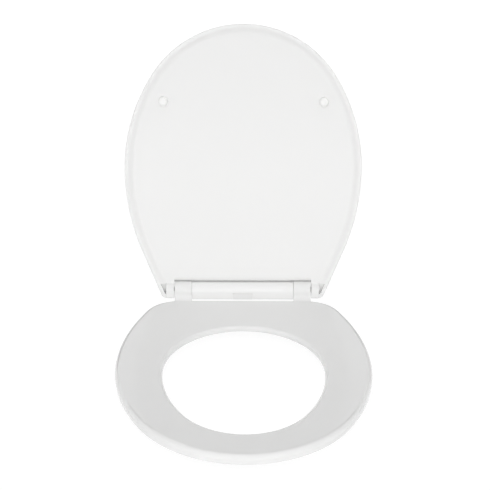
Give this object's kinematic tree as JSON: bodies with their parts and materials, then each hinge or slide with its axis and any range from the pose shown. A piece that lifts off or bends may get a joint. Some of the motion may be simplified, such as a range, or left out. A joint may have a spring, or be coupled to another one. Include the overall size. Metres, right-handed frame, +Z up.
{
  "type": "toilet seat",
  "caption": "Oval toilet seat and lid on a soft-close hinge bar with a release button; the lid stands open above the seat ring.",
  "frame": {"origin": "midway between the two post sockets, on the flat underside of the hinge bar", "axes": "+X to the right seen from the front and along the hinge line, +Y to the rear, +Z up"},
  "size_m": [0.372, 0.507, 0.4449],
  "materials": {
    "seat_plastic": "polished white moulding",
    "hinge_plastic": "semi-gloss white moulding",
    "buffer_rubber": "soft white rubber",
    "bush_plastic": "natural acetal",
    "latch_plastic": "natural acetal",
    "damper_plastic": "grey moulding",
    "steel": "bright steel"
  },
  "bodies": {
    "hinge": {"hinge_bar": "hinge_plastic", "hinge_base": "hinge_plastic", "base_screws": "steel", "seat_damper_housing": "damper_plastic", "seat_damper_cap": "damper_plastic", "lid_damper_housing": "damper_plastic", "lid_damper_cap": "damper_plastic", "seat_side_end_bush": "bush_plastic", "lid_side_end_bush": "bush_plastic", "latch_spring": "steel"},
    "seat": {"seat_ring": "seat_plastic", "seat_buffer_front_left": "buffer_rubber", "seat_buffer_front_right": "buffer_rubber", "seat_buffer_rear_left": "buffer_rubber", "seat_buffer_rear_right": "buffer_rubber", "seat_damper_rotor": "steel", "seat_bush": "bush_plastic"},
    "lid": {"lid": "seat_plastic", "lid_buffer_left": "buffer_rubber", "lid_buffer_right": "buffer_rubber", "lid_damper_rotor": "steel", "lid_bush": "bush_plastic"},
    "button": {"release_button": "hinge_plastic"},
    "latch_left": {"latch_left": "latch_plastic"},
    "latch_right": {"latch_right": "latch_plastic"}
  },
  "joints": [
    {"name": "lid_hinge", "type": "hinge", "parent": "hinge", "child": "lid", "pos_m": [0, 0, 0.0125], "axis": [1, 0, 0], "range_deg": [0, 102]},
    {"name": "seat_hinge", "type": "hinge", "parent": "hinge", "child": "seat", "pos_m": [0, 0, 0.0125], "axis": [-1, 0, 0], "range_deg": [0, 102]},
    {"name": "button_press", "type": "slide", "parent": "hinge", "child": "button", "axis": [0, 1, 0], "range_m": [0, 0.0025], "stiffness_N_per_m": 500, "deforming": ["latch_spring"]},
    {"name": "latch_left_slide", "type": "slide", "parent": "hinge", "child": "latch_left", "axis": [1, 0, 0], "range_m": [0, 0.0025]},
    {"name": "latch_right_slide", "type": "slide", "parent": "hinge", "child": "latch_right", "axis": [-1, 0, 0], "range_m": [0, 0.0025]}
  ],
  "couplings": [
    {"joint": "latch_left_slide", "follows": "button_press", "ratio": 1},
    {"joint": "latch_right_slide", "follows": "button_press", "ratio": 1}
  ]
}
